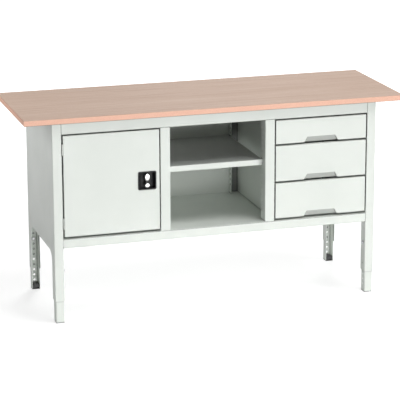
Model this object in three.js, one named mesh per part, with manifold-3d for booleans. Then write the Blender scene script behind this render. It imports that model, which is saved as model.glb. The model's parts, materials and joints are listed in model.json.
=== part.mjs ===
import * as THREE from 'three';
import { mergeVertices } from 'three/addons/utils/BufferGeometryUtils.js';
import Module from 'manifold-3d';

const wasm = await Module();
wasm.setup();

// Storage workbench with a cupboard, an open bay and a stack of drawers, in millimetres.
// X runs along the bench, Y from its front to its back, Z up. The origin is on the floor,
// under the middle of the worktop.

// Worktop
const worktopLength = 1750;
const worktopDepth = 600;
const worktopThickness = 25;
const worktopHeight = 930;
const worktopChamfer = 1.5;

// Sheets and the gaps between pieces
const frameSheet = 2;
const panelSheet = 1.2;
const bendRadius = 1.5;
const seat = 0.3;

// End frames: side panel, two legs with a return, and the arch between the legs
const endOverhang = 125;
const edgeOverhang = 25;
const legFace = 42;
const legReturn = 50;
const legWeb = 52;
const legEndHeight = 100;
const archHeight = 316;
const archRadius = 50;
const topFlangeWidth = 30;
const topFlangeInset = 55;

// Rails, floor and back
const topRailHeight = 52;
const topRailDepth = 40;
const bottomRailFoot = 341;
const bottomRailHeight = 42;
const bottomRailDepth = 40;
const railLip = 25;
const backInset = 12;

// Dividers between the bays
const dividerSheet = 1.5;
const dividerFace = 45;
const dividerFrontReturn = 60;
const dividerBackReturn = 40;

// Slots for shelf runners, in the returns of the dividers and end frames
const slotWidth = 12;
const slotHeight = 10;
const slotPitch = 25;
const slotFirstHeight = 428;
const slotTopMargin = 30;
const slotFrontInset = 41;
const slotBackInset = 25;

// Shelves and their runners
const shelfSlot = 9;
const shelfSetback = 34;
const shelfFrontLip = 25;
const shelfSideLip = 15;
const shelfBackGap = 5;
const runnerSheet = 1.5;
const runnerFoot = 14;
const runnerHeight = 15;
const hookHeight = 7;
const hookWidth = 10;
const hookReach = 4;
const runnerBackReach = 6;

// Inner legs and feet
const legClearance = 0.5;
const innerLegDepth = 40;
const innerLegTop = 300;
const glideHeight = 2;
const footHeight = 25;
const footArch = 15;
const holeDiameter = 10;
const holePitch = 25;
const firstHoleHeight = 35;
const lockHoleSteps = [4, 8];

// Door and hinges
const doorDepth = 20;
const doorHingeGap = 6;
const doorLockGap = 4;
const doorTopGap = 6;
const doorBottomGap = 9;
const panLip = 14;
const panEdge = 2;
const panCorner = 3;
const stiffenerWidth = 60;
const stiffenerFlange = 18;
const hingeLength = 50;
const hingeInset = 36;
const leafSheet = 1.2;
const leafWidth = 25;
const knuckleRadius = 2.6;
const pinRadius = 1.5;
const pinClearance = 0.1;

// Lock
const lockSize = 82;
const lockEdge = 16;
const lockRim = 5;
const lockProud = 3;
const lockEdgeRound = 1;
const lockDepth = 21;
const lockWall = 2;
const scoopRadius = 14;
const lockCorner = 6;
const gripWidth = 22;
const gripOval = 31;
const gripDisc = 19;
const gripNeck = 12;
const gripThickness = 10;
const gripProud = 4;
const gripEdgeRound = 2;
const spindleRadius = 5;
const cylinderRadius = 6;
const cylinderProud = 1.5;
const keySlot = 1.6;
const camSheet = 3;
const camWidth = 16;
const camGrip = 14;
const camGap = 4;
const camClearance = 2;

// Drawers and their slides
const drawerUnits = [2, 3, 3];
const drawerSideGap = 4.5;
const drawerTopGap = 6;
const drawerGap = 8;
const drawerBottomGap = 9;
const traySheet = 1;
const trayRim = 9;
const trayBackGap = 16.5;
const trayFootGap = 12;
const trayTopGap = 26;
const recessWidth = 164;
const recessTopWidth = 132;
const recessHeight = 26;
const recessDepth = 15;
const slideWidth = 12.5;
const slideHeight = 45;
const slideSheet = 1.25;
const slideGap = 0.75;
const slideLip = 10;
const slideBackGap = 20.2;
const slideFootGap = 6;

// Faceting of round stretches
const foldSteps = 2;
const roundSteps = 24;
const holeSteps = 12;

// Places that follow from the sizes above
const frameLength = worktopLength - 2 * endOverhang;
const frameDepth = worktopDepth - 2 * edgeOverhang;
const underside = worktopHeight - worktopThickness;
const frameTop = underside - seat;
const halfFrame = frameLength / 2;
const front = -frameDepth / 2;
const back = frameDepth / 2;
const bayEnd = halfFrame - legFace;
const bayWidth = (2 * bayEnd - 2 * dividerFace) / 3;
const postInner = bayWidth / 2;
const postOuter = postInner + dividerFace;
const openingTop = frameTop - topRailHeight;
const floorTop = bottomRailFoot + bottomRailHeight;
const backFace = back - backInset - panelSheet;
const dividerBack = backFace - seat;
const slotFront = front + slotFrontInset;
const slotBack = dividerBack - slotBackInset;
const slotCount = Math.floor((openingTop - slotTopMargin - slotFirstHeight) / slotPitch) + 1;
const hookPlace = slotFirstHeight + shelfSlot * slotPitch;
const runnerBase = hookPlace - slotHeight / 2;
const shelfTop = runnerBase + runnerSheet + seat + shelfSideLip;
const shelfFront = front + shelfSetback;
const shelfBack = backFace - shelfBackGap;
const doorLeft = -bayEnd + doorHingeGap;
const doorRight = -postOuter - doorLockGap;
const doorBottom = floorTop + doorBottomGap;
const doorTop = openingTop - doorTopGap;
const doorBack = front + doorDepth;
const hingeAxisX = -bayEnd + doorHingeGap / 2;
const lockX = doorRight - lockEdge - lockSize / 2;
const lockZ = (doorBottom + doorTop) / 2;
const camFront = front + lockDepth + camGap;
const camReach = -postOuter + dividerSheet + camGrip - lockX;

const bench = new THREE.Group();

const finishes = {
  paint: { color: 0xe6eae5, roughness: 0.45, metalness: 0.1 },
  plywood: { color: 0xc9ae96, roughness: 0.6, metalness: 0 },
  zinc: { color: 0xb4b8ba, roughness: 0.35, metalness: 0.9 },
  chrome: { color: 0xe8e8ea, roughness: 0.15, metalness: 1 },
  black: { color: 0x141416, roughness: 0.5, metalness: 0 },
};

// Solids: a closed geometry as a solid, a solid as a geometry, and a named mesh in the bench

function solidOf(geometry) {
  const bare = geometry.clone();
  bare.deleteAttribute('normal');
  bare.deleteAttribute('uv');
  const merged = mergeVertices(bare, 1e-4);
  return new wasm.Manifold(new wasm.Mesh({
    numProp: 3,
    vertProperties: new Float32Array(merged.attributes.position.array),
    triVerts: new Uint32Array(merged.index.array),
  }));
}

function geometryOf(solid) {
  const mesh = solid.getMesh();
  const geometry = new THREE.BufferGeometry();
  geometry.setAttribute('position', new THREE.BufferAttribute(new Float32Array(mesh.vertProperties), 3));
  geometry.setIndex(new THREE.BufferAttribute(new Uint32Array(mesh.triVerts), 1));
  geometry.computeVertexNormals();
  return geometry;
}

function join(...geometries) {
  return geometries.map(solidOf).reduce((whole, next) => whole.add(next));
}

function cut(solid, geometries) {
  return geometries.map(solidOf).reduce((whole, next) => whole.subtract(next), solid);
}

function place(group, name, finish, shape) {
  const geometry = shape.isBufferGeometry ? shape : geometryOf(shape);
  const mesh = new THREE.Mesh(geometry, new THREE.MeshStandardMaterial(finishes[finish]));
  mesh.name = name;
  group.add(mesh);
  return mesh;
}

// Straight bodies: a block between two corners, and outlines carried along each axis

function span(a, b) {
  return a < b ? [a, b] : [b, a];
}

function block(x0, x1, y0, y1, z0, z1) {
  const box = new THREE.BoxGeometry(x1 - x0, y1 - y0, z1 - z0);
  return box.translate((x0 + x1) / 2, (y0 + y1) / 2, (z0 + z1) / 2);
}

function alongZ(outline, z0, z1, steps = foldSteps) {
  const depth = z1 - z0;
  const body = new THREE.ExtrudeGeometry(outline, { depth, bevelEnabled: false, curveSegments: steps });
  return body.translate(0, 0, z0);
}

// The outline's first coordinate becomes Y and its second Z.
function alongX(outline, x0, x1, steps = foldSteps) {
  const turn = new THREE.Matrix4().makeBasis(
    new THREE.Vector3(0, 1, 0), new THREE.Vector3(0, 0, 1), new THREE.Vector3(1, 0, 0));
  return alongZ(outline, 0, x1 - x0, steps).applyMatrix4(turn).translate(x0, 0, 0);
}

// The outline's first coordinate becomes X and its second Z.
function alongY(outline, y0, y1, steps = foldSteps) {
  const body = alongZ(outline, 0, y1 - y0, steps);
  return body.rotateX(Math.PI / 2).translate(0, y1, 0);
}

function drill(axis, x, y, z, radius, length) {
  const body = new THREE.CylinderGeometry(radius, radius, length, holeSteps);
  if (axis === 'x') body.rotateZ(Math.PI / 2);
  if (axis === 'z') body.rotateX(Math.PI / 2);
  return body.translate(x, y, z);
}

// Folded sheets: the run lies on one face of the sheet, which is as thick to the left of the run.
// Every corner is a right-angle fold with the inside radius bend.

function traceRun(outline, points, thickness, bend) {
  points.slice(1, -1).forEach((corner, i) => {
    const before = corner.clone().sub(points[i]).normalize();
    const after = points[i + 2].clone().sub(corner).normalize();
    const turn = Math.sign(before.cross(after));
    const radius = turn > 0 ? bend + thickness : bend;
    const start = corner.clone().addScaledVector(before, -radius);
    const centre = start.clone().addScaledVector(after, radius);
    const from = Math.atan2(start.y - centre.y, start.x - centre.x);
    outline.lineTo(start.x, start.y);
    outline.absarc(centre.x, centre.y, radius, from, from + turn * Math.PI / 2, turn < 0);
  });
  const last = points[points.length - 1];
  outline.lineTo(last.x, last.y);
}

function foldedSection(run, thickness, bend = bendRadius) {
  const points = run.map(([x, y]) => new THREE.Vector2(x, y));
  const normals = points.slice(1).map((point, i) => {
    const way = point.clone().sub(points[i]).normalize();
    return new THREE.Vector2(-way.y, way.x);
  });
  const inner = points.map((point, i) => {
    const shifted = point.clone();
    if (i > 0) shifted.addScaledVector(normals[i - 1], thickness);
    if (i < normals.length) shifted.addScaledVector(normals[i], thickness);
    return shifted;
  });
  inner.reverse();
  const outline = new THREE.Shape();
  outline.moveTo(points[0].x, points[0].y);
  traceRun(outline, points, thickness, bend);
  outline.lineTo(inner[0].x, inner[0].y);
  traceRun(outline, inner, thickness, bend);
  return outline;
}

// A run mirrored across either axis, still with the sheet to its left.
function mirrored(run, signX, signY = 1) {
  const points = run.map(([x, y]) => [x * signX, y * signY]);
  return signX * signY < 0 ? points.reverse() : points;
}

function polygon(points) {
  return new THREE.Shape(points.map(([x, y]) => new THREE.Vector2(x, y)));
}

function roundedRectangle(x0, x1, y0, y1, radius) {
  const outline = new THREE.Shape();
  outline.absarc(x1 - radius, y0 + radius, radius, -Math.PI / 2, 0);
  outline.absarc(x1 - radius, y1 - radius, radius, 0, Math.PI / 2);
  outline.absarc(x0 + radius, y1 - radius, radius, Math.PI / 2, Math.PI);
  outline.absarc(x0 + radius, y0 + radius, radius, Math.PI, 1.5 * Math.PI);
  return outline;
}

// A plate in the XZ plane between two depths, with its edges rounded on both faces.
function roundedPlate(outline, y0, y1, edge, steps = foldSteps) {
  const body = new THREE.ExtrudeGeometry(outline, {
    depth: y1 - y0 - 2 * edge,
    bevelSize: edge,
    bevelThickness: edge,
    bevelOffset: -edge,
    bevelSegments: foldSteps,
    curveSegments: steps,
  });
  return body.rotateX(Math.PI / 2).translate(0, y1 - edge, 0);
}

// Worktop slab with broken edges

function addWorktop() {
  const x = worktopLength / 2;
  const y = worktopDepth / 2;
  const slab = new THREE.ExtrudeGeometry(polygon([[-x, -y], [x, -y], [x, y], [-x, y]]), {
    depth: worktopThickness - 2 * worktopChamfer,
    bevelSize: worktopChamfer,
    bevelThickness: worktopChamfer,
    bevelOffset: -worktopChamfer,
    bevelSegments: 1,
  });
  place(bench, 'worktop', 'plywood', slab.translate(0, 0, underside + worktopChamfer));
}

// Slots at the shelf pitch through an upright sheet between x0 and x1, at the depth y

function slotRow(x0, x1, y) {
  return Array.from({ length: slotCount }, (_, i) => {
    const z = slotFirstHeight + i * slotPitch;
    return block(x0, x1, y - slotWidth / 2, y + slotWidth / 2, z - slotHeight / 2, z + slotHeight / 2);
  });
}

// End frame: one sheet folded into side panel, leg faces and returns, with the arch cut away below.
// The front legs are pinned through their returns, the rear legs through their rear faces.

function archOutline() {
  const reach = frameDepth / 2 - legWeb;
  const spring = archHeight - archRadius;
  const outline = new THREE.Shape();
  outline.moveTo(-reach, legEndHeight - frameSheet);
  outline.lineTo(reach, legEndHeight - frameSheet);
  outline.absarc(reach - archRadius, spring, archRadius, 0, Math.PI / 2);
  outline.absarc(archRadius - reach, spring, archRadius, Math.PI / 2, Math.PI);
  return outline;
}

function addEndFrame(name, side) {
  const run = [
    [-bayEnd, back - legReturn], [-bayEnd, back], [-halfFrame, back],
    [-halfFrame, front], [-bayEnd, front], [-bayEnd, front + legReturn],
  ];
  const section = foldedSection(mirrored(run, -side), frameSheet);
  const flangeReach = back - topFlangeInset;
  const panel = side * (halfFrame - frameSheet / 2);
  const flange = span(panel, side * (halfFrame - topFlangeWidth));
  const folded = join(
    alongZ(section, legEndHeight, frameTop),
    block(...flange, -flangeReach, flangeReach, frameTop - frameSheet, frameTop));
  const lip = side * (bayEnd + frameSheet / 2);
  const legMiddle = side * (halfFrame - legFace / 2);
  const cutters = [alongX(archOutline(), panel - frameSheet, panel + frameSheet, roundSteps / 4)];
  cutters.push(...slotRow(lip - frameSheet, lip + frameSheet, slotFront));
  cutters.push(...slotRow(lip - frameSheet, lip + frameSheet, slotBack));
  for (const step of lockHoleSteps) {
    const z = firstHoleHeight + step * holePitch;
    cutters.push(drill('x', lip, front + legReturn / 2, z, holeDiameter / 2, 2 * frameSheet));
    cutters.push(drill('y', legMiddle, back - frameSheet / 2, z, holeDiameter / 2, 2 * frameSheet));
  }
  place(bench, name, 'paint', cut(folded, cutters));
}

// Inner leg: a channel that slides in the end frame's leg, with a row of pin holes, and its foot

function addInnerLeg(name, side, row) {
  const outerX = halfFrame - frameSheet - legClearance;
  const innerX = bayEnd + frameSheet + legClearance;
  const faceY = back - frameSheet - legClearance;
  const open = innerLegDepth - faceY;
  const run = [[-outerX, open], [-outerX, -faceY], [-innerX, -faceY], [-innerX, open]];
  const section = foldedSection(mirrored(run, -side, -row), frameSheet);
  const channel = solidOf(alongZ(section, glideHeight, innerLegTop));
  const count = Math.floor((innerLegTop - holePitch - firstHoleHeight) / holePitch) + 1;
  const through = innerLegDepth / 2;
  const holes = Array.from({ length: count }, (_, i) => {
    const z = firstHoleHeight + i * holePitch;
    if (row < 0) {
      return drill('x', side * innerX, front + legReturn / 2, z, holeDiameter / 2, through);
    }
    return drill('y', side * (outerX + innerX) / 2, faceY, z, holeDiameter / 2, through);
  });
  place(bench, `inner_leg_${name}`, 'paint', cut(channel, holes));
  addFoot(name, side, row, outerX, innerX, faceY);
}

// Foot: a plug with an arched top in the channel, over a flat glide under the channel's end
function addFoot(name, side, row, outerX, innerX, faceY) {
  const middle = side * (outerX + innerX) / 2;
  const plugGap = bendRadius / 2;
  const half = (outerX - innerX) / 2 - frameSheet - plugGap;
  const spring = footHeight - footArch;
  const plug = new THREE.Shape();
  plug.moveTo(middle + half, glideHeight / 2);
  plug.absellipse(middle, spring, half, footArch, 0, Math.PI);
  plug.lineTo(middle - half, glideHeight / 2);
  const plugY = span(row * (faceY - frameSheet - plugGap), row * (faceY - innerLegDepth + seat));
  const glideY = span(row * faceY, row * (faceY - innerLegDepth));
  const glideX = span(side * outerX, side * innerX);
  const glide = block(...glideX, ...glideY, 0, glideHeight - seat);
  place(bench, `foot_${name}`, 'black', join(alongY(plug, ...plugY, roundSteps / 4), glide));
}

// Rails: channels between the end frames, open to the inside of the bench

function addRail(name, row, foot, top, depth) {
  const run = [[front + depth, top], [front, top], [front, foot], [front + railLip, foot]];
  const section = foldedSection(mirrored(run, -row), frameSheet);
  place(bench, name, 'paint', alongX(section, seat - bayEnd, bayEnd - seat));
}

// Floor over the bottom rails, reaching the side panels between the leg returns, and the back panel

function addFloorAndBack() {
  const x = bayEnd - seat;
  const wing = halfFrame - frameSheet - seat;
  const notch = back - legReturn - seat;
  const floor = join(
    block(-x, x, front, back, floorTop - panelSheet, floorTop),
    block(-wing, wing, -notch, notch, floorTop - panelSheet, floorTop));
  place(bench, 'floor_panel', 'paint', floor);
  const sheet = block(-x, x, backFace, backFace + panelSheet, floorTop + seat, openingTop - seat);
  place(bench, 'back_panel', 'paint', sheet);
}

// Divider: a sheet folded into a panel on the closed side, post faces and returns on the open bay's side.
// The left one has slots for the cupboard's shelf and a tall slot that the lock's cam swings into.

function addDivider(name, side) {
  const run = [
    [postInner, front + dividerFrontReturn], [postInner, front], [postOuter, front],
    [postOuter, dividerBack], [postInner, dividerBack], [postInner, dividerBack - dividerBackReturn],
  ];
  const section = foldedSection(mirrored(run, side), dividerSheet);
  const top = openingTop - seat;
  const webX = span(side * (postOuter - dividerSheet), side * postOuter);
  const webY = back - topRailDepth - frameSheet;
  const folded = join(
    alongZ(section, floorTop + seat, top),
    block(...webX, -webY, webY, top - dividerSheet, frameTop - seat));
  const lip = side * (postInner + dividerSheet / 2);
  const cutters = [
    ...slotRow(lip - dividerSheet, lip + dividerSheet, slotFront),
    ...slotRow(lip - dividerSheet, lip + dividerSheet, slotBack),
  ];
  if (side < 0) {
    const web = side * (postOuter - dividerSheet / 2);
    cutters.push(...slotRow(web - dividerSheet, web + dividerSheet, slotFront));
    cutters.push(...slotRow(web - dividerSheet, web + dividerSheet, slotBack));
    cutters.push(strikeSlot(web));
  }
  place(bench, name, 'paint', cut(folded, cutters));
}

// The cam swings up into the panel, so the slot starts where its tip first reaches the panel.
function strikeSlot(web) {
  const reach = -postOuter - lockX;
  const tip = Math.hypot(camReach, camWidth / 2);
  const drop = Math.sqrt(tip * tip - reach * reach);
  return block(
    web - dividerSheet, web + dividerSheet,
    camFront - camClearance, camFront + camSheet + camClearance,
    lockZ - drop - camClearance, lockZ + camWidth / 2 + camClearance);
}

// Shelf: a tray turned over, with a deep front lip, on two runners hooked into the slots of its bay

function addShelf(name, left, right) {
  const x0 = left + 2 * seat + runnerSheet;
  const x1 = right - 2 * seat - runnerSheet;
  const tray = join(
    block(x0, x1, shelfFront, shelfBack, shelfTop - shelfSideLip, shelfTop),
    block(x0, x1, shelfFront, shelfFront + panelSheet, shelfTop - shelfFrontLip, shelfTop));
  const hollow = block(
    x0 + panelSheet, x1 - panelSheet, shelfFront + panelSheet, shelfBack - panelSheet,
    shelfTop - shelfFrontLip, shelfTop - panelSheet);
  place(bench, name, 'paint', cut(tray, [hollow]));
  addRunner(`${name}_runner_left`, left, 1);
  addRunner(`${name}_runner_right`, right, -1);
}

function addRunner(name, wall, inward) {
  const x = wall + inward * seat;
  const run = [[0, runnerHeight], [0, 0], [runnerFoot, 0]];
  const section = foldedSection(mirrored(run, inward), runnerSheet, seat).getPoints(foldSteps);
  const outline = new THREE.Shape(section.map((p) => new THREE.Vector2(p.x + x, p.y + runnerBase)));
  const y0 = shelfFront + panelSheet + seat;
  const y1 = slotBack + runnerBackReach;
  const hookX = span(x + inward * runnerSheet / 2, wall - inward * hookReach);
  const hookZ = span(hookPlace - hookHeight / 2, hookPlace + hookHeight / 2);
  const hooks = [slotFront, slotBack].map((y) => (
    block(...hookX, y - hookWidth / 2, y + hookWidth / 2, ...hookZ)));
  place(bench, name, 'zinc', join(alongY(outline, y0, y1), ...hooks));
}

// A sheet pan with folded edges and a narrow lip round its open back, its face at the front plane

function pan(x0, x1, z0, z1) {
  const body = solidOf(roundedPlate(roundedRectangle(x0, x1, z0, z1, panCorner), front, doorBack, panEdge));
  const t = panelSheet;
  return cut(body, [
    block(x0 + t, x1 - t, front + t, doorBack - t, z0 + t, z1 - t),
    block(x0 + panLip, x1 - panLip, doorBack - 2 * t, doorBack + t, z0 + panLip, z1 - panLip),
  ]);
}

// Door with its cut-out for the lock, and the channel that stiffens it

function addDoor() {
  const half = lockSize / 2 - lockRim + lockWall + seat;
  const opening = roundedRectangle(lockX - half, lockX + half, lockZ - half, lockZ + half, lockCorner);
  const sheet = cut(pan(doorLeft, doorRight, doorBottom, doorTop), [
    alongY(opening, front - panelSheet, front + 2 * panelSheet),
  ]);
  place(bench, 'door_panel', 'paint', sheet);
  const middle = (doorLeft + doorRight) / 2;
  const near = front + panelSheet + seat;
  const far = doorBack - 2 * panelSheet - seat;
  const run = [
    [-stiffenerWidth / 2 - stiffenerFlange, near], [-stiffenerWidth / 2, near], [-stiffenerWidth / 2, far],
    [stiffenerWidth / 2, far], [stiffenerWidth / 2, near], [stiffenerWidth / 2 + stiffenerFlange, near],
  ].map(([x, y]) => [x + middle, y]);
  const channel = alongZ(
    foldedSection(run, panelSheet), doorBottom + panelSheet + seat, doorTop - panelSheet - seat);
  place(bench, 'door_stiffener', 'paint', channel);
}

// Hinge: a frame leaf with the lower knuckle and the pin, and a door leaf with the upper knuckle

function leaf(plateX, z0, z1, knuckle0, knuckle1) {
  const plateY = front + knuckleRadius + 2 * seat;
  const round = new THREE.CylinderGeometry(knuckleRadius, knuckleRadius, knuckle1 - knuckle0, holeSteps);
  round.rotateX(Math.PI / 2).translate(hingeAxisX, front, (knuckle0 + knuckle1) / 2);
  return join(
    block(...plateX, plateY, plateY + leafWidth, z0, z1),
    block(...plateX, front, plateY + leafSheet, knuckle0, knuckle1),
    round);
}

function addHinge(name, z0) {
  const z1 = z0 + hingeLength;
  const middle = (z0 + z1) / 2;
  const frameX = [-bayEnd + seat, -bayEnd + seat + leafSheet];
  const doorX = [doorLeft - seat - leafSheet, doorLeft - seat];
  const pin = drill('z', hingeAxisX, front, middle, pinRadius, hingeLength);
  const frameLeaf = leaf(frameX, z0, z1, z0, middle - seat).add(solidOf(pin));
  place(bench, `hinge_frame_leaf_${name}`, 'paint', frameLeaf);
  const bore = drill('z', hingeAxisX, front, middle, pinRadius + pinClearance, 2 * hingeLength);
  place(bench, `hinge_door_leaf_${name}`, 'paint', cut(leaf(doorX, z0, z1, middle, z1), [bore]));
}

// Lock: a housing with scooped sides, a turn grip with the key cylinder, and the cam on its spindle.
// The group's origin is on the grip's turning axis, at the door's front face.

function addLock() {
  const lock = new THREE.Group();
  lock.position.set(lockX, front, lockZ);
  bench.add(lock);
  const plate = lockSize / 2;
  const mouth = plate - lockRim;
  const body = mouth + lockWall;
  const floor = lockDepth - lockWall;
  const scoop = new THREE.Shape();
  scoop.moveTo(-mouth, -2 * lockProud);
  scoop.lineTo(mouth, -2 * lockProud);
  scoop.absarc(mouth - scoopRadius, floor - scoopRadius, scoopRadius, 0, Math.PI / 2);
  scoop.absarc(scoopRadius - mouth, floor - scoopRadius, scoopRadius, Math.PI / 2, Math.PI);
  const rim = roundedRectangle(-plate, plate, -plate, plate, lockCorner);
  const shell = join(
    roundedPlate(rim, -lockProud, -seat, lockEdgeRound),
    alongY(roundedRectangle(-body, body, -body, body, lockCorner), -lockProud / 2, lockDepth));
  const housing = cut(shell, [
    alongZ(scoop, -mouth, mouth, roundSteps / 4),
    drill('y', 0, floor, 0, spindleRadius + seat, 2 * lockDepth),
  ]);
  place(lock, 'lock_housing', 'black', housing);
  addGrip(lock);
  addCam(lock);
}

function oval(z, width, height) {
  const outline = new THREE.Shape();
  outline.absellipse(0, z, width / 2, height / 2, 0, 2 * Math.PI);
  return outline;
}

function addGrip(lock) {
  const reach = (gripOval + gripDisc + gripNeck) / 2;
  const ovalZ = reach - gripOval / 2;
  const discZ = gripDisc / 2 - reach;
  const near = -lockProud - gripProud;
  const far = near + gripThickness;
  const bar = join(
    roundedPlate(oval(ovalZ, gripWidth, gripOval), near, far, gripEdgeRound, roundSteps / 4),
    roundedPlate(oval(discZ, gripWidth, gripDisc), near, far, gripEdgeRound, roundSteps / 4),
    block(-gripNeck / 2, gripNeck / 2, near + gripEdgeRound, far, discZ, ovalZ));
  const barrel = cylinderRadius + seat;
  const pocket = drill('y', 0, near, ovalZ, barrel, gripThickness);
  place(lock, 'lock_grip', 'chrome', cut(bar, [pocket]));
  const depth = gripThickness / 2 - seat;
  const middle = near + (depth - cylinderProud) / 2;
  const cylinder = drill('y', 0, middle, ovalZ, cylinderRadius, depth + cylinderProud);
  const key = block(
    -keySlot / 2, keySlot / 2, near - 2 * cylinderProud, near + cylinderProud,
    ovalZ - cylinderRadius / 2, ovalZ + cylinderRadius / 2);
  place(lock, 'lock_cylinder', 'chrome', cut(solidOf(cylinder), [key]));
}

// At rest the cam hangs straight down, so that the door is free to open.
function addCam(lock) {
  const near = gripThickness - lockProud - gripProud + seat;
  const y0 = lockDepth + camGap;
  const y1 = y0 + camSheet;
  const spindle = drill('y', 0, (near + y1) / 2, 0, spindleRadius, y1 - near);
  const half = camWidth / 2;
  const tip = half / 2;
  const outline = new THREE.Shape();
  outline.absarc(0, 0, half, 0, Math.PI);
  outline.lineTo(-half, tip - camReach);
  outline.absarc(tip - half, tip - camReach, tip, Math.PI, 1.5 * Math.PI);
  outline.absarc(half - tip, tip - camReach, tip, 1.5 * Math.PI, 2 * Math.PI);
  place(lock, 'lock_cam', 'zinc', join(alongY(outline, y0, y1, roundSteps / 4), spindle));
}

// Drawer: a pan front with a grip recess in its lower edge, a tray with its rim folded in, and a slide
// on either side.
// The group's origin is at the front's lower edge, in the middle of the drawer bay.

const drawerBayMiddle = (postOuter + bayEnd) / 2;

// The recess is a scoop: its sheet slopes in from its upper edge, between ends that lean inward.
function recess(grow) {
  const foot = recessWidth / 2 + grow;
  const head = recessTopWidth / 2 + grow;
  const slant = Math.hypot(recessDepth, recessHeight);
  const top = recessHeight + grow * slant / recessDepth;
  const near = front - panEdge;
  const far = front + recessDepth + grow * slant / recessHeight;
  const drop = -panEdge;
  const outline = polygon([[-foot, drop], [foot, drop], [foot, 0], [head, top], [-head, top], [-foot, 0]]);
  const slope = polygon([[near, drop], [far, drop], [far, 0], [front, top], [near, top]]);
  return solidOf(alongY(outline, near, far)).intersect(solidOf(alongX(slope, -foot, foot)));
}

function addDrawerFront(group, name, height) {
  const half = bayWidth / 2 - drawerSideGap;
  const shell = pan(-half, half, 0, height);
  const t = panelSheet;
  const inside = block(-half, half, front + t / 2, doorBack - t, t / 2, height);
  const walled = shell.add(recess(t).intersect(solidOf(inside)));
  place(group, name, 'paint', walled.subtract(recess(0)));
}

function addTray(group, name, height) {
  const half = bayWidth / 2 - slideWidth - 2 * seat;
  const y0 = doorBack + seat;
  const y1 = backFace - trayBackGap;
  const z0 = trayFootGap;
  const z1 = height - trayTopGap;
  const t = traySheet;
  const box = solidOf(block(-half, half, y0, y1, z0, z1));
  const tray = cut(box, [
    block(t - half, half - t, y0 + t, y1 - t, z0 + t, z1 - t),
    block(trayRim - half, half - trayRim, y0 + trayRim, y1 - trayRim, z1 - 2 * t, z1 + t),
  ]);
  place(group, name, 'paint', tray);
}

// Slide: the outer member on the bay's wall, the drawer member on the tray, the middle one between them.
// Each section is drawn from the bay's left wall inward and mirrored for the right wall.

function addSlide(group, name, side) {
  const step = slideSheet + slideGap;
  const outer = slideHeight / 2;
  const middle = outer - step;
  const inner = middle - step;
  const sections = {
    outer: [[slideLip, outer], [0, outer], [0, -outer], [slideLip, -outer]],
    middle: [[slideLip, middle], [step, middle], [step, -middle], [slideLip, -middle]],
    inner: [[2 * step, -inner], [slideWidth, -inner], [slideWidth, inner], [2 * step, inner]],
  };
  const hand = side < 0 ? 'left' : 'right';
  const height = trayFootGap + slideFootGap + outer;
  for (const [member, run] of Object.entries(sections)) {
    const placed = run.map(([x, z]) => [x + seat - bayWidth / 2, z + height]);
    const section = foldedSection(mirrored(placed, -side), slideSheet, slideGap);
    const body = alongY(section, doorBack + 2 * seat, backFace - slideBackGap);
    place(group, `${name}_${member}_${hand}`, 'zinc', body);
  }
}

function addDrawers() {
  const gaps = drawerTopGap + drawerBottomGap + (drawerUnits.length - 1) * drawerGap;
  const unit = (openingTop - floorTop - gaps) / drawerUnits.reduce((sum, units) => sum + units);
  let top = openingTop - drawerTopGap;
  drawerUnits.forEach((units, i) => {
    const height = units * unit;
    const name = `drawer_${i + 1}`;
    const group = new THREE.Group();
    group.position.set(drawerBayMiddle, 0, top - height);
    bench.add(group);
    addDrawerFront(group, `${name}_front`, height);
    addTray(group, `${name}_tray`, height);
    addSlide(group, `${name}_slide`, -1);
    addSlide(group, `${name}_slide`, 1);
    top -= height + drawerGap;
  });
}

// The whole bench

addWorktop();
addEndFrame('end_frame_left', -1);
addEndFrame('end_frame_right', 1);
addInnerLeg('front_left', -1, -1);
addInnerLeg('front_right', 1, -1);
addInnerLeg('rear_left', -1, 1);
addInnerLeg('rear_right', 1, 1);
addRail('top_front_rail', -1, openingTop, frameTop, topRailDepth);
addRail('top_rear_rail', 1, openingTop, frameTop, topRailDepth);
addRail('bottom_front_rail', -1, bottomRailFoot, floorTop - panelSheet - seat, bottomRailDepth);
addRail('bottom_rear_rail', 1, bottomRailFoot, floorTop - panelSheet - seat, bottomRailDepth);
addFloorAndBack();
addDivider('divider_left', -1);
addDivider('divider_right', 1);
addShelf('bay_shelf', -postInner, postInner);
addShelf('cupboard_shelf', -bayEnd, -postOuter);
addDoor();
addHinge('upper', doorTop - hingeInset - hingeLength);
addHinge('lower', doorBottom + hingeInset);
addLock();
addDrawers();

export default bench;
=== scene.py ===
import json
import math
import bmesh
import bpy
import numpy as np
from mathutils import Euler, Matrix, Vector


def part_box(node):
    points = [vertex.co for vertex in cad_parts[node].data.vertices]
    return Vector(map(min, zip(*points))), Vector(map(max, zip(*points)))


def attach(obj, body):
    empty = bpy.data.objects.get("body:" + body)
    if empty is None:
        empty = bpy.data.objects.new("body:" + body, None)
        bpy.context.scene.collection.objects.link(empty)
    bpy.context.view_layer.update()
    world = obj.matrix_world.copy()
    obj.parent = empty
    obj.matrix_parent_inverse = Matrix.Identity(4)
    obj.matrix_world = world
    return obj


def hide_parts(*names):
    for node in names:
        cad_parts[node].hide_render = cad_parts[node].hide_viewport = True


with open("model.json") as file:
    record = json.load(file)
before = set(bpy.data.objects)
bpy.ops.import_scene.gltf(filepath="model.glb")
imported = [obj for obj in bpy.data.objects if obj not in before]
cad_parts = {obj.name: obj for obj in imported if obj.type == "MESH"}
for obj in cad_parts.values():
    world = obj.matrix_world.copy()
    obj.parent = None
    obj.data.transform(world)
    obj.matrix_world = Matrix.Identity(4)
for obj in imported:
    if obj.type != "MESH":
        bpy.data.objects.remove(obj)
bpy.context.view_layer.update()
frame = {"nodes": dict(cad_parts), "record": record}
nodes = frame["nodes"]
print("frame loaded:", len(nodes), "pieces")


# Node building: one call makes a node, sets it up and links or fills its sockets

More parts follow.
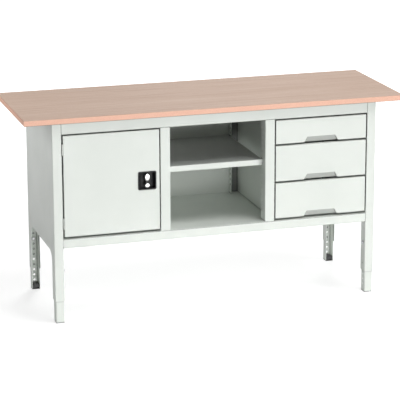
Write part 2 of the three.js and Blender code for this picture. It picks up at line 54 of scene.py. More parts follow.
def addNode(tree, kind, inputs=None, **settings):
    node = tree.nodes.new(kind)
    for key, value in settings.items():
        setattr(node, key, value)
    for key, value in (inputs or {}).items():
        if isinstance(value, bpy.types.NodeSocket):
            tree.links.new(value, node.inputs[key])
        else:
            node.inputs[key].default_value = value
    return node


def mathNode(tree, operation, first, second=0.0):
    return addNode(tree, "ShaderNodeMath", {0: first, 1: second}, operation=operation).outputs[0]


def allOf(tree, *shares):
    total = shares[0]
    for share in shares[1:]:
        total = mathNode(tree, "MULTIPLY", total, share)
    return total


def mixColour(tree, share, first, second):
    return addNode(tree, "ShaderNodeMix", {0: share, 6: first, 7: second}, data_type="RGBA").outputs[2]


def rangeNode(tree, value, span, result=(0.0, 1.0), smooth=False):
    inputs = {"Value": value, "From Min": span[0], "From Max": span[1],
              "To Min": result[0], "To Max": result[1]}
    kind = "SMOOTHSTEP" if smooth else "LINEAR"
    return addNode(tree, "ShaderNodeMapRange", inputs, interpolation_type=kind).outputs[0]


def noiseNode(tree, vector, scale, detail, roughness=0.5):
    inputs = {"Vector": vector, "Scale": scale, "Detail": detail, "Roughness": roughness}
    return addNode(tree, "ShaderNodeTexNoise", inputs).outputs[0]


def splitVector(tree, vector):
    return addNode(tree, "ShaderNodeSeparateXYZ", {0: vector}).outputs


def newGroup(name, inputs, outputs):
    group = bpy.data.node_groups.new(name, "ShaderNodeTree")
    for label, kind in inputs:
        group.interface.new_socket(name=label, in_out="INPUT", socket_type=kind)
    for label, kind in outputs:
        group.interface.new_socket(name=label, in_out="OUTPUT", socket_type=kind)
    entry = group.nodes.new("NodeGroupInput")
    return group, entry.outputs, group.nodes.new("NodeGroupOutput").inputs


def useGroup(tree, group, inputs):
    return addNode(tree, "ShaderNodeGroup", inputs, node_tree=group).outputs


def newMaterial(name):
    material = bpy.data.materials.new(name)
    material.use_nodes = True
    tree = material.node_tree
    tree.nodes.clear()
    shader = tree.nodes.new("ShaderNodeBsdfPrincipled")
    output = tree.nodes.new("ShaderNodeOutputMaterial")
    tree.links.new(shader.outputs[0], output.inputs[0])
    where = tree.nodes.new("ShaderNodeTexCoord").outputs
    return material, tree, shader, where


# Shared surface effects

vectorSocket = "NodeSocketVector"
floatSocket = "NodeSocketFloat"
noiseSpan = (0.3, 0.7)          # where most values of a noise lie
breakSpan = (0.35, 0.65)        # the same, for a harder break
edgeSpan = (0.01, 0.2)          # bend of the rounded normal over which the mask rises
edgeBreak = (0.3, 1.0)
paintedShadeSpan = (0.97, 0.45)         # openness over which the painted shade gathers
paintedShadeBreak = (0.75, 1.0)
paintedShadePatches = 45.0


def makeGrainGroup():
    group, entry, result = newGroup(
        "fine grain",
        [("Vector", vectorSocket), ("Grain", floatSocket), ("Patches", floatSocket)],
        [("Height", floatSocket), ("Patch", floatSocket)])
    fine = noiseNode(group, entry["Vector"], entry["Grain"], detail=2.0, roughness=0.55)
    broad = noiseNode(group, entry["Vector"], entry["Patches"], detail=4.0, roughness=0.6)
    group.links.new(fine, result["Height"])
    group.links.new(rangeNode(group, broad, noiseSpan, smooth=True), result["Patch"])
    return group


# Rounded normal over every edge, and a broken mask where the round lies
def makeEdgeGroup():
    group, entry, result = newGroup(
        "rounded edges",
        [("Vector", vectorSocket), ("Radius", floatSocket), ("Breakup", floatSocket)],
        [("Normal", vectorSocket), ("Edge", floatSocket)])
    rounded = addNode(group, "ShaderNodeBevel", {"Radius": entry["Radius"]}, samples=6).outputs[0]
    flat = addNode(group, "ShaderNodeNewGeometry").outputs["True Normal"]
    facing = addNode(group, "ShaderNodeVectorMath", {0: rounded, 1: flat}, operation="DOT_PRODUCT")
    bend = mathNode(group, "SUBTRACT", 1.0, facing.outputs["Value"])
    noise = noiseNode(group, entry["Vector"], entry["Breakup"], detail=3.0)
    edge = allOf(group, rangeNode(group, bend, edgeSpan, smooth=True),
                 rangeNode(group, noise, breakSpan, edgeBreak))
    group.links.new(rounded, result["Normal"])
    group.links.new(edge, result["Edge"])
    return group


# Fine lines along one axis, from noise drawn out by a vector scale
def makeLinesGroup():
    group, entry, result = newGroup(
        "drawn lines", [("Vector", vectorSocket), ("Stretch", vectorSocket)], [("Line", floatSocket)])
    drawn = addNode(group, "ShaderNodeVectorMath", {0: entry["Vector"], 1: entry["Stretch"]},
                    operation="MULTIPLY").outputs[0]
    noise = noiseNode(group, drawn, scale=1.0, detail=5.0, roughness=0.65)
    group.links.new(rangeNode(group, noise, noiseSpan), result["Line"])
    return group


# Painted shade, as a mask, where surfaces close in on each other, as in gaps, seams and inner corners
def makeGapShadeGroup():
    group, entry, result = newGroup(
        "dust in gaps", [("Vector", vectorSocket), ("Reach", floatSocket)], [("PaintedShade", floatSocket)])
    near = addNode(group, "ShaderNodeAmbientOcclusion", {"Distance": entry["Reach"]}, samples=8)
    noise = noiseNode(group, entry["Vector"], paintedShadePatches, detail=3.0)
    paintedShade = allOf(group, rangeNode(group, near.outputs["AO"], paintedShadeSpan),
                 rangeNode(group, noise, breakSpan, paintedShadeBreak))
    group.links.new(paintedShade, result["PaintedShade"])
    return group


grainGroup = makeGrainGroup()
edgeGroup = makeEdgeGroup()
linesGroup = makeLinesGroup()
gapShadeGroup = makeGapShadeGroup()


def grainOf(tree, where, look):
    inputs = {"Vector": where["Object"], "Grain": look["grain"], "Patches": look["patches"]}
    return useGroup(tree, grainGroup, inputs)


def edgeOf(tree, where, look):
    inputs = {"Vector": where["Object"], "Radius": look["edge"], "Breakup": look["breakup"]}
    return useGroup(tree, edgeGroup, inputs)


def lineOf(tree, where, stretch):
    return useGroup(tree, linesGroup, {"Vector": where["Object"], "Stretch": stretch})["Line"]


# Last links that every finish has: roughness between two values, and relief on the rounded normal
def finishSurface(tree, shader, look, worn, height, normal):
    tree.links.new(rangeNode(tree, worn, (0.0, 1.0), look["roughness"]), shader.inputs["Roughness"])
    bump = addNode(tree, "ShaderNodeBump", {"Height": height, "Normal": normal, "Distance": look["relief"],
                                            "Strength": look["reliefStrength"]})
    tree.links.new(bump.outputs[0], shader.inputs["Normal"])


# Where shade is painted in, as a share over the piece: the paint is made darker there
shadeMaskLook = {
    "slopeFront": (-0.985, -0.95),      # facing along y, from square to the front to sloping
    "slopeSide": (-0.2, -0.1),          # and from sloping to turned aside
    "level": (0.5, 0.9),                # facing up
    "shadeStreaks": (40.0, 3.0, 40.0),          # streaks along the depth of the bench
    "shadeStreakSpan": (1.0, 0.93),
    "channelInset": (0.002, 0.0007),    # metres from the divider's sides
    "channelDepth": (0.006, 0.003),     # metres from its back
}


# Painted shade, on the sloping faces of the grip recess, told by the way they face
def gripRecessShade(tree, where, look):
    facing = splitVector(tree, where["Normal"])["Y"]
    return allOf(tree, rangeNode(tree, facing, look["slopeSide"], (1.0, 0.0)),
                 rangeNode(tree, facing, look["slopeFront"]))


# Painted shade on the upward faces of a shelf, with faint streaks along the depth of the bench
def shelfTopShade(tree, where, look):
    facing = splitVector(tree, where["Normal"])["Z"]
    return allOf(tree, rangeNode(tree, facing, look["level"]),
                 rangeNode(tree, lineOf(tree, where, look["shadeStreaks"]), (0.0, 1.0), look["shadeStreakSpan"]))


# Painted shade, at the bottom of the channel that closes a divider at the back
def channelHollowShade(tree, where, look):
    place = splitVector(tree, where["Object"])
    low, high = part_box("divider_right")
    inner, outer = look["channelInset"]
    aside = mathNode(tree, "ABSOLUTE", place["X"])
    depth = [high.y - inset for inset in look["channelDepth"]]
    return allOf(tree, mathNode(tree, "GREATER_THAN", aside, low.x + inner),
                 mathNode(tree, "LESS_THAN", aside, high.x - outer),
                 rangeNode(tree, place["Y"], depth))


# Finishes

paintLook = {
    "colour": (0.735, 0.772, 0.727, 1.0),
    "shade": (0.706, 0.744, 0.700, 1.0),
    # rim: painted highlight, a lighter paint along the rounded edges
    "rim": (0.800, 0.830, 0.794, 1.0),
    # near-black colour: painted shade in gaps, seams and inner corners
    "paintedShade": (0.045, 0.046, 0.043, 1.0),
    "paintedShadeReach": 0.007,
    # painted shade on the sloping faces of the grip recess
    "recess-shaded": (0.500, 0.522, 0.495, 1.0),
    # painted shade on the upward faces of the shelves
    "scuffed": (0.520, 0.542, 0.516, 1.0),
    # painted shade in the rear channel of the dividers
    "hollow-shade": (0.184, 0.194, 0.183, 1.0),
    "grain": 420.0,                     # orange peel, per metre
    "patches": 3.5,
    "edge": 0.0016,
    "breakup": 25.0,
    "roughness": (0.40, 0.50),
    "relief": 0.00002,
    "reliefStrength": 0.6,
}


def makePaint(name, look, shadeMask=None, tone=None, shadesGaps=True):
    material, tree, shader, where = newMaterial(name)
    grain = grainOf(tree, where, look)
    edge = edgeOf(tree, where, look)
    colour = mixColour(tree, grain["Patch"], look["colour"], look["shade"])
    # painted shade where the mask says, in the tone given
    if shadeMask:
        colour = mixColour(tree, shadeMask(tree, where, shadeMaskLook), colour, look[tone])
    # painted highlight along the rounded edges
    colour = mixColour(tree, edge["Edge"], colour, look["rim"])
    # painted shade in gaps, seams and inner corners
    if shadesGaps:
        paintedShade = useGroup(tree, gapShadeGroup, {"Vector": where["Object"], "Reach": look["paintedShadeReach"]})["PaintedShade"]
        colour = mixColour(tree, paintedShade, colour, look["paintedShade"])
    tree.links.new(colour, shader.inputs["Base Color"])
    finishSurface(tree, shader, look, grain["Patch"], grain["Height"], edge["Normal"])
    return material


plywoodLook = {
    "face": (0.420, 0.294, 0.222, 1.0),
    "streak": (0.320, 0.214, 0.158, 1.0),
    "pale": (0.470, 0.342, 0.268, 1.0),
    "back": (0.120, 0.100, 0.086, 1.0),     # coated underside
    "backStreak": (0.085, 0.070, 0.060, 1.0),
    "long": (0.940, 0.580, 0.450, 1.0),     # plies cut along the grain
    "end": (0.780, 0.460, 0.340, 1.0),      # plies cut across it
    "glue": (0.330, 0.180, 0.115, 1.0),
    "plies": 13,
    "streaks": (1.6, 85.0, 85.0),           # lines per metre along each axis
    "bands": (0.7, 7.0, 7.0),
    "flecks": (55.0, 420.0, 420.0),
    "wobbles": (9.0, 9.0, 120.0),
    "pores": (160.0, 160.0, 900.0),
    "wobble": 0.12,                         # of a ply
    "paleShare": ((0.2, 0.9), (0.0, 0.75)),
    "streakShare": ((0.45, 1.0), (0.0, 0.55)),
    "fleckShare": ((0.66, 0.86), (0.0, 0.5)),
    "poreShare": ((0.55, 0.95), (0.0, 0.35)),
    "glueShare": ((0.40, 0.49), (0.0, 0.6)),
    "onEnd": 0.7,                           # facing along x from which an edge is an end
    "onBack": -0.5,                         # facing along z below which a face is the underside
    "onFace": (0.5, 0.8),
    "gloss": 0.25,
    "edge": 0.0014,
    "breakup": 40.0,
    "roughness": (0.60, 0.74),
    "relief": 0.00006,
    "reliefStrength": 0.5,
}


def makePlywood(look, low, high):
    material, tree, shader, where = newMaterial("beech plywood")
    place = splitVector(tree, where["Object"])
    facing = splitVector(tree, where["Normal"])
    streak = lineOf(tree, where, look["streaks"])
    band = lineOf(tree, where, look["bands"])
    fleck = lineOf(tree, where, look["flecks"])

    # Face veneer: long streaks, wide bands of heartwood and short dark flecks
    veneer = mixColour(tree, rangeNode(tree, band, *look["paleShare"]), look["face"], look["pale"])
    veneer = mixColour(tree, rangeNode(tree, streak, *look["streakShare"]), veneer, look["streak"])
    flecks = rangeNode(tree, fleck, *look["fleckShare"], smooth=True)
    veneer = mixColour(tree, flecks, veneer, look["streak"])
    below = mathNode(tree, "LESS_THAN", facing["Z"], look["onBack"])
    veneer = mixColour(tree, below, veneer, mixColour(tree, streak, look["back"], look["backStreak"]))

    # Edges: plies in turn along and across the grain, the other way round on the ends
    ply = (high.z - low.z) / look["plies"]
    layer = mathNode(tree, "DIVIDE", mathNode(tree, "SUBTRACT", place["Z"], low.z), ply)
    wobble = lineOf(tree, where, look["wobbles"])
    layer = mathNode(tree, "ADD", layer,
                     rangeNode(tree, wobble, (0.0, 1.0), (-look["wobble"], look["wobble"])))
    onEnd = mathNode(tree, "GREATER_THAN", mathNode(tree, "ABSOLUTE", facing["X"]), look["onEnd"])
    turn = mathNode(tree, "MODULO", mathNode(tree, "ADD", mathNode(tree, "FLOOR", layer), onEnd), 2.0)
    within = mathNode(tree, "FRACT", layer)
    seam = mathNode(tree, "ABSOLUTE", mathNode(tree, "SUBTRACT", within, 0.5))
    plies = mixColour(tree, turn, look["long"], look["end"])
    pores = lineOf(tree, where, look["pores"])
    plies = mixColour(tree, rangeNode(tree, pores, *look["poreShare"]), plies, look["end"])
    plies = mixColour(tree, rangeNode(tree, seam, *look["glueShare"], smooth=True), plies, look["glue"])

    onFace = rangeNode(tree, mathNode(tree, "ABSOLUTE", facing["Z"]), look["onFace"])
    tree.links.new(mixColour(tree, onFace, plies, veneer), shader.inputs["Base Color"])
    shader.inputs["Specular IOR Level"].default_value = look["gloss"]
    height = mathNode(tree, "ADD", streak, fleck)
    finishSurface(tree, shader, look, streak, height, edgeOf(tree, where, look)["Normal"])
    return material


zincLook = {
    "colour": (0.60, 0.61, 0.62, 1.0),
    "tint": (0.56, 0.57, 0.61, 1.0),
    "grain": 700.0,
    "patches": 28.0,
    "lines": (500.0, 6.0, 500.0),
    "edge": 0.0008,
    "breakup": 80.0,
    "roughness": (0.28, 0.46),
    "relief": 0.00001,
    "reliefStrength": 0.4,
}


def makeZinc(look):
    material, tree, shader, where = newMaterial("zinc plate")
    grain = grainOf(tree, where, look)
    line = lineOf(tree, where, look["lines"])
    colour = mixColour(tree, grain["Patch"], look["colour"], look["tint"])
    tree.links.new(colour, shader.inputs["Base Color"])
    worn = mathNode(tree, "MULTIPLY", mathNode(tree, "ADD", line, grain["Patch"]), 0.5)
    finishSurface(tree, shader, look, worn, line, edgeOf(tree, where, look)["Normal"])
    shader.inputs["Metallic"].default_value = 1.0
    return material


nickelLook = {
    "colour": (0.86, 0.86, 0.85, 1.0),
    "dull": (0.74, 0.74, 0.74, 1.0),
    # black colour: painted shade on the grip's neck, which is nickel
    "neck": (0.020, 0.020, 0.021, 1.0),
    "neckShadeSpan": (0.92, 0.94),           # of the lower and the upper lobe, from where the neck is painted black as shade
    "neckShadeSoft": 0.0006,
    "grain": 1500.0,
    "patches": 90.0,
    "lines": (900.0, 900.0, 30.0),
    "edge": 0.0005,
    "breakup": 200.0,
    "roughness": (0.16, 0.30),
    "relief": 0.000006,
    "reliefStrength": 0.4,
}


def makeNickel(look):
    material, tree, shader, where = newMaterial("satin nickel")
    line = lineOf(tree, where, look["lines"])
    patch = grainOf(tree, where, look)["Patch"]
    tree.links.new(mixColour(tree, patch, look["colour"], look["dull"]), shader.inputs["Base Color"])
    finishSurface(tree, shader, look, line, line, edgeOf(tree, where, look)["Normal"])
    shader.inputs["Metallic"].default_value = 1.0
    return material


# The grip is the same nickel with a black band of painted shade round its neck, told by the height in the
# piece
def makeGripFinish(look, shape):
    material = makeNickel(look)
    material.name = "satin nickel with painted neck shade"
    tree = material.node_tree
    shader = next(node for node in tree.nodes if node.type == "BSDF_PRINCIPLED")
    low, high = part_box("lock_grip")
    foot = low.z + look["neckShadeSpan"][0] * shape["disc"]
    head = high.z - look["neckShadeSpan"][1] * shape["oval"]
    half = (head - foot) / 2
    height = splitVector(tree, addNode(tree, "ShaderNodeTexCoord").outputs["Object"])["Z"]
    off = mathNode(tree, "ABSOLUTE", mathNode(tree, "SUBTRACT", height, (foot + head) / 2))
    band = rangeNode(tree, off, (half - look["neckShadeSoft"], half), (1.0, 0.0), smooth=True)
    bare = shader.inputs["Base Color"].links[0].from_socket
    tree.links.new(mixColour(tree, band, bare, look["neck"]), shader.inputs["Base Color"])
    tree.links.new(mathNode(tree, "SUBTRACT", 1.0, band), shader.inputs["Metallic"])
    return material


plasticLook = {
    "grain": 1800.0,
    "patches": 60.0,
    "edge": 0.0008,
    "breakup": 150.0,
    "scuffShare": 0.6,
    "relief": 0.00003,
    "reliefStrength": 0.5,
}
footLook = {
    **plasticLook,
    "colour": (0.032, 0.032, 0.033, 1.0),
    "scuff": (0.070, 0.070, 0.072, 1.0),
    "roughness": (0.34, 0.48),
    "gloss": 0.5,
}
lockLook = {
    **plasticLook,
    "colour": (0.006, 0.006, 0.007, 1.0),
    "scuff": (0.014, 0.014, 0.015, 1.0),
    "roughness": (0.26, 0.36),
    "gloss": 0.22,
}


def makeBlackPlastic(name, look):
    material, tree, shader, where = newMaterial(name)
    grain = grainOf(tree, where, look)
    edge = edgeOf(tree, where, look)
    scuffed = mathNode(tree, "MULTIPLY", edge["Edge"], look["scuffShare"])
    tree.links.new(mixColour(tree, scuffed, look["colour"], look["scuff"]), shader.inputs["Base Color"])
    finishSurface(tree, shader, look, grain["Patch"], grain["Height"], edge["Normal"])
    shader.inputs["Specular IOR Level"].default_value = look["gloss"]
    return material


finishes = {
    "grey_paint": makePaint("powder coat", paintLook),
    "plywood": makePlywood(plywoodLook, *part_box("worktop")),
    "zinc": makeZinc(zincLook),
    "chrome": makeNickel(nickelLook),
    "black_plastic": makeBlackPlastic("black foot plastic", footLook),
}

# Finishes for single pieces, some with painted shade. The wide panels inside the bays get no painted shade in
# their corners.
gripPaint = makePaint("handled powder coat", paintLook, gripRecessShade, "recess-shaded")
shelfPaint = makePaint("scuffed powder coat", paintLook, shelfTopShade, "scuffed")
channelPaint = makePaint("hollow-shaded powder coat", paintLook, channelHollowShade, "hollow-shade")
panelPaint = makePaint("unshaded powder coat", paintLook, shadesGaps=False)
ownFinishes = {
    "lock_housing": makeBlackPlastic("black lock plastic", lockLook),
    "drawer_1_front": gripPaint,
    "drawer_2_front": gripPaint,
    "drawer_3_front": gripPaint,
    "bay_shelf": shelfPaint,
    "cupboard_shelf": shelfPaint,
    "divider_left": channelPaint,
    "divider_right": channelPaint,
    "floor_panel": panelPaint,
    "back_panel": panelPaint,
}


def dress(piece, finish):
    piece.data.materials.clear()
    piece.data.materials.append(finish)


for part in frame["record"]["subparts"]:
    name = part["node"]
    dress(nodes[name], ownFinishes.get(name, finishes[part["material_slot"]]))


# New pieces: grids of points, shape (copies, rows, columns, 3), wrapped along the columns.
# A row of points that all meet is a pole, and merging it closes the surface.
mergeDistance = 1e-6
sharpAngle = 32.0


def gridPiece(name, points, body, finish):
    copies, rows, columns = points.shape[:3]
    row, column = np.meshgrid(np.arange(rows - 1), np.arange(columns), indexing="ij")
    onward = (column + 1) % columns
    quads = np.stack([row * columns + column, row * columns + onward,
                      (row + 1) * columns + onward, (row + 1) * columns + column], -1).reshape(-1, 4)
    starts = np.arange(copies)[:, None, None] * rows * columns
    faces = (quads[None] + starts).reshape(-1, 4)
    mesh = bpy.data.meshes.new(name)
    mesh.from_pydata(points.reshape(-1, 3).tolist(), [], faces.tolist())
    merged = bmesh.new()
    merged.from_mesh(mesh)
    bmesh.ops.remove_doubles(merged, verts=merged.verts, dist=mergeDistance)
    bmesh.ops.recalc_face_normals(merged, faces=merged.faces)
    merged.to_mesh(mesh)
    merged.free()
    mesh.polygons.foreach_set("use_smooth", np.ones(len(mesh.polygons), dtype=bool))
    mesh.set_sharp_from_angle(angle=math.radians(sharpAngle))
    piece = bpy.data.objects.new(name, mesh)
    bpy.context.scene.collection.objects.link(piece)
    mesh.materials.append(finish)
    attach(piece, body)
    return piece


# Turn grip of the lock, in metres
gripLook = {
    "oval": 0.031,          # length of the upper lobe
    "disc": 0.019,          # length of the lower lobe
    "neck": 0.012,          # width of the neck between them
    "neckDip": 0.0030,      # how far the neck lies behind the lobes
    "squareness": 0.60,     # 1 is an ellipse, less is squarer
    "joinPower": 6,         # higher joins neck and lobes more sharply
    "endPower": 12,         # higher keeps the full depth nearer to the ends
    "rows": 121,
    "columns": 72,
}


# Half width along the height: the sixth root of the summed sixth powers of two half ellipses and a
# straight neck. Each section is a superellipse of that width, flat at the back, dipped at the neck.
def makeGrip(look, finish):
    low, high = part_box("lock_grip")
    t = np.linspace(0.0, 1.0, look["rows"])
    z = low.z + (0.5 - 0.5 * np.cos(np.pi * t)) * (high.z - low.z)
    wide = (high.x - low.x) / 2
    ovalMiddle = high.z - look["oval"] / 2
    discMiddle = low.z + look["disc"] / 2
    between = (z > discMiddle) & (z < ovalMiddle)
    forms = [wide * np.sqrt(np.clip(1.0 - ((z - middle) / (span / 2)) ** 2, 0.0, 1.0))
             for middle, span in ((ovalMiddle, look["oval"]), (discMiddle, look["disc"]))]
    forms.append(np.where(between, look["neck"] / 2, 0.0))
    joined = sum(form ** look["joinPower"] for form in forms) ** (1.0 / look["joinPower"])
    half = np.minimum(joined, wide)
    swell = np.clip((half - look["neck"] / 2) / (wide - look["neck"] / 2), 0.0, 1.0)
    fromMiddle = np.abs(2.0 * (z - low.z) / (high.z - low.z) - 1.0)
    end = np.sqrt(np.clip(1.0 - fromMiddle ** look["endPower"], 0.0, 1.0))
    front = low.y + np.where(between, look["neckDip"] * (1.0 - np.sqrt(swell)), 0.0)
    middleY = (front + high.y) / 2
    deep = (high.y - front) / 2 * end
    angle = np.linspace(0.0, 2.0 * np.pi, look["columns"], endpoint=False)
    across = np.sign(np.cos(angle)) * np.abs(np.cos(angle)) ** look["squareness"]
    along = np.sign(np.sin(angle)) * np.abs(np.sin(angle)) ** look["squareness"]
    x = (low.x + high.x) / 2 + half[:, None] * across
    y = middleY[:, None] + deep[:, None] * along
    points = np.stack([x, y, np.broadcast_to(z[:, None], x.shape)], -1)[None]
    piece = gridPiece("lock_grip_shaped", points, "lock_handle", finish)
    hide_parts("lock_grip")


# A turned shape on many places: each row has a radius, a height and how far it is six-sided.
# The six-sided radius is the flat's distance over the cosine of the angle from the flat's middle.
def turnedPoints(profile, places, axes, columns):
    radius, height, sixSided = np.array(profile).T
    angle = np.linspace(0.0, 2.0 * np.pi, columns, endpoint=False)
    corner = 1.0 / np.cos((angle + np.pi / 6) % (np.pi / 3) - np.pi / 6)
    reach = radius[:, None] * (1.0 + sixSided[:, None] * (corner - 1.0))
    axes = np.array(axes, dtype=float)
    upright = np.array([0.0, 0.0, 1.0])
    sideways = np.cross(upright, axes)
    points = (np.array(places)[:, None, None, :]
              + height[None, :, None, None] * axes[:, None, None, :]
              + (reach * np.cos(angle))[None, :, :, None] * sideways[:, None, None, :]
              + (reach * np.sin(angle))[None, :, :, None] * upright)
    return points


# Bolts that pin the legs at their set height, one through the upper hole of each leg, in metres
boltLook = {
    "flats": 0.013,
    "head": 0.0053,
    "chamfer": 0.0005,
    "crown": 0.93,          # round end of head and nut, of the width over the flats
    "washer": 0.008,
    "washerThick": 0.0016,
    "shank": 0.004,
    "grip": 0.0045,         # both sheets and the gap between them
    "nut": 0.0065,
    "tail": 0.003,
    "height": 0.235,
    "frontHole": -0.250,
    "columns": 48,
}


def makeBolts(look, finish):
    flat, cut, plate, shank = look["flats"] / 2, look["chamfer"], look["washerThick"], look["shank"]
    crown = look["crown"] * flat
    top = plate + look["head"]
    nutFace = -look["grip"]
    nutEnd = nutFace - look["nut"]
    tailEnd = nutEnd - look["tail"]
    profile = [
        (0.0, top, 0), (crown, top, 0), (flat, top - cut, 1), (flat, plate, 1),
        (look["washer"], plate, 0), (look["washer"], 0.0, 0), (shank, 0.0, 0),
        (shank, nutFace, 0), (flat, nutFace, 1), (flat, nutEnd + cut, 1), (crown, nutEnd, 0),
        (shank, nutEnd, 0), (shank, tailEnd + cut, 0), (shank - cut, tailEnd, 0), (0.0, tailEnd, 0),
    ]
    places, axes = [], []
    for side, sign in (("left", 1.0), ("right", -1.0)):
        frameLow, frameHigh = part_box("end_frame_" + side)
        legLow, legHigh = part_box("inner_leg_rear_" + side)
        inner = frameHigh.x if sign > 0 else frameLow.x
        places.append(((legLow.x + legHigh.x) / 2, frameHigh.y, look["height"]))
        axes.append((0.0, 1.0, 0.0))
        places.append((inner, look["frontHole"], look["height"]))
        axes.append((sign, 0.0, 0.0))
    points = turnedPoints(profile, places, axes, look["columns"])
    gridPiece("leg_bolts", points, "carcass", finish)


# Rivets on the hinge leaves, low domes: height falls as a quarter circle towards the rim
rivetLook = {
    "radius": 0.0026,
    "height": 0.0008,
    "inset": 0.009,
    "spread": 0.014,
    "sheet": 0.0012,
    "rings": 7,
    "columns": 24,
}


def makeRivets(look, kind, body, outward, finish):
    ring = np.sin(np.linspace(0.0, np.pi / 2, look["rings"]))
    dome = [(look["radius"] * r, look["height"] * math.sqrt(max(0.0, 1.0 - r * r)), 0) for r in ring]
    dome.append((0.0, 0.0, 0))
    places, axes = [], []
    for level in ("upper", "lower"):
        low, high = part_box("hinge_" + kind + "_leaf_" + level)
        face = low.x + look["sheet"] if outward > 0 else high.x - look["sheet"]
        for step in (-1.0, 1.0):
            places.append((face, high.y - look["inset"], (low.z + high.z) / 2 + step * look["spread"]))
            axes.append((outward, 0.0, 0.0))
    points = turnedPoints(dome, places, axes, look["columns"])
    gridPiece("hinge_rivets_" + kind, points, body, finish)


makeGrip(gripLook, makeGripFinish(nickelLook, gripLook))
makeBolts(boltLook, finishes["zinc"])
makeRivets(rivetLook, "frame", "carcass", 1.0, finishes["zinc"])
makeRivets(rivetLook, "door", "door", -1.0, finishes["zinc"])
print("pieces: lock grip, leg bolts, hinge rivets")


# Rays that show the plain white stage: from the camera, mirrored, or through glass
def stageRays(tree):
    path = addNode(tree, "ShaderNodeLightPath").outputs
    seen = mathNode(tree, "MAXIMUM", path["Is Camera Ray"], path["Is Glossy Ray"])
    return mathNode(tree, "MAXIMUM", seen, path["Is Transmission Ray"])


# Floor: a flat square far wider than the bench, white to the camera, keeping the shadow.
# The lift to white is weaker near the bench, where the lamps add to it and the shadow lies.
floorLook = {
    "reach": 40.0,
    "colour": (0.62, 0.62, 0.62, 1.0),
    "lift": (0.63, 0.965),      # near the bench, and far from it
    "fade": (1.2, 4.0),         # between these distances from its middle, in metres
    "drop": 0.0002,
}


def makeFloor(look):
    reach, level = look["reach"], -look["drop"]
    mesh = bpy.data.meshes.new("floor")
    corners = [(-reach, -reach, level), (reach, -reach, level), (reach, reach, level), (-reach, reach, level)]
    mesh.from_pydata(corners, [], [(0, 1, 2, 3)])
    floor = bpy.data.objects.new("floor", mesh)
    bpy.context.scene.collection.objects.link(floor)
    material = bpy.data.materials.new("studio floor")
    material.use_nodes = True
    tree = material.node_tree
    tree.nodes.clear()
    where = addNode(tree, "ShaderNodeTexCoord").outputs["Object"]
    away = addNode(tree, "ShaderNodeVectorMath", {0: where}, operation="LENGTH").outputs["Value"]
    lift = rangeNode(tree, away, look["fade"], look["lift"], smooth=True)
    diffuse = addNode(tree, "ShaderNodeBsdfDiffuse", {"Color": look["colour"]})
    glow = addNode(tree, "ShaderNodeEmission", {"Strength": allOf(tree, stageRays(tree), lift)})
    both = addNode(tree, "ShaderNodeAddShader", {0: diffuse.outputs[0], 1: glow.outputs[0]})
    addNode(tree, "ShaderNodeOutputMaterial", {0: both.outputs[0]})
    mesh.materials.append(material)


makeFloor(floorLook)

# World: soft light all round, plain white to the camera and in reflections
worldLook = {"colour": (1.0, 1.0, 1.0, 1.0), "light": 0.10}


def makeWorld(look):
    world = bpy.data.worlds.new("studio")
    bpy.context.scene.world = world
    world.use_nodes = True
    tree = world.node_tree
    tree.nodes.clear()
    soft = addNode(tree, "ShaderNodeBackground", {"Color": look["colour"], "Strength": look["light"]})
    white = addNode(tree, "ShaderNodeBackground", {"Color": look["colour"], "Strength": 1.0})
    both = addNode(tree, "ShaderNodeMixShader",
                   {0: stageRays(tree), 1: soft.outputs[0], 2: white.outputs[0]})
    addNode(tree, "ShaderNodeOutputWorld", {0: both.outputs[0]})


makeWorld(worldLook)

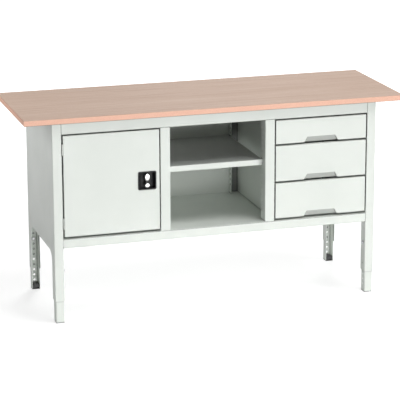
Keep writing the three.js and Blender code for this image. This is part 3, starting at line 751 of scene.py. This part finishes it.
# Lamps: one wide soft light from far to the right, and soft boxes round the bench.
# Places and sizes are in metres, angles in degrees.
keyLook = {"turn": 32.0, "rise": 2.0, "spread": 10.0, "strength": 1.15}
boxLooks = {
    "top": {"place": (1.7, -1.8, 5.5), "aim": (0.0, 0.0, 0.9), "size": (3.0, 2.6), "power": 190.0},
    "left": {"place": (-1.5, 0.1, 1.22), "aim": (-0.75, 0.1, 1.0), "size": (0.8, 0.8), "power": 3.45},
    "rear": {"place": (1.7, 5.0, 4.4), "aim": (0.0, 0.0, 0.55), "size": (2.5, 2.5), "power": 190.0},
    "front": {"place": (0.2, -4.2, 0.14), "aim": (0.0, -0.3, 0.75), "size": (3.0, 0.5), "power": 47.0},
    "high": {"place": (0.0, -4.2, 2.4), "aim": (0.0, -0.1, 0.45), "size": (2.0, 0.5), "power": 26.0},
    "under": {"place": (0.0, -0.22, 0.05), "aim": (0.0, 0.27, 0.17), "size": (1.0, 0.06), "power": 0.6},
    "low": {"place": (-1.0, -2.6, 0.10), "aim": (0.5, 0.27, 0.08), "size": (1.8, 0.16), "power": 0.75,
            "spread": 26.0},
}
openSpread = 180.0          # a box without a grid


def placeLamp(name, lamp, tilt, turn, place=(0.0, 0.0, 0.0)):
    holder = bpy.data.objects.new(name, lamp)
    bpy.context.scene.collection.objects.link(holder)
    holder.location = place
    holder.rotation_euler = Euler((tilt, 0.0, turn), "XYZ")
    holder.visible_camera = False


def makeKey(look):
    lamp = bpy.data.lights.new("key", "SUN")
    lamp.energy = look["strength"]
    lamp.angle = math.radians(look["spread"])
    placeLamp("key", lamp, math.radians(90.0 - look["rise"]), math.radians(look["turn"]))


def makeBox(name, look):
    lamp = bpy.data.lights.new(name, "AREA")
    lamp.shape = "RECTANGLE"
    lamp.size, lamp.size_y = look["size"]
    lamp.energy = look["power"]
    lamp.spread = math.radians(look.get("spread", openSpread))
    way = np.array(look["aim"]) - np.array(look["place"])
    tilt = math.atan2(math.hypot(way[0], way[1]), -way[2])
    placeLamp(name, lamp, tilt, math.atan2(-way[0], way[1]), look["place"])


makeKey(keyLook)
for boxName, boxLook in boxLooks.items():
    makeBox(boxName, boxLook)
print("stage: floor, world, key and", len(boxLooks), "soft boxes")

# Camera: long lens from the left of the bench's front, looking down on it
cameraLook = {
    "place": (-2.445, -8.045, 2.757),
    "yaw": 17.65,
    "dip": 14.50,
    "lens": 170.5,
    "sensor": 36.0,
    "shift": (-0.06, -0.08),
}


def makeCamera(look):
    data = bpy.data.cameras.new("camera")
    data.lens = look["lens"]
    data.sensor_width = look["sensor"]
    data.shift_x, data.shift_y = look["shift"]
    camera = bpy.data.objects.new("camera", data)
    bpy.context.scene.collection.objects.link(camera)
    camera.location = look["place"]
    tilt, turn = math.radians(90.0 - look["dip"]), math.radians(-look["yaw"])
    camera.rotation_euler = Euler((tilt, 0.0, turn), "XYZ")
    bpy.context.scene.camera = camera


makeCamera(cameraLook)
bpy.context.scene.view_settings.view_transform = "Standard"
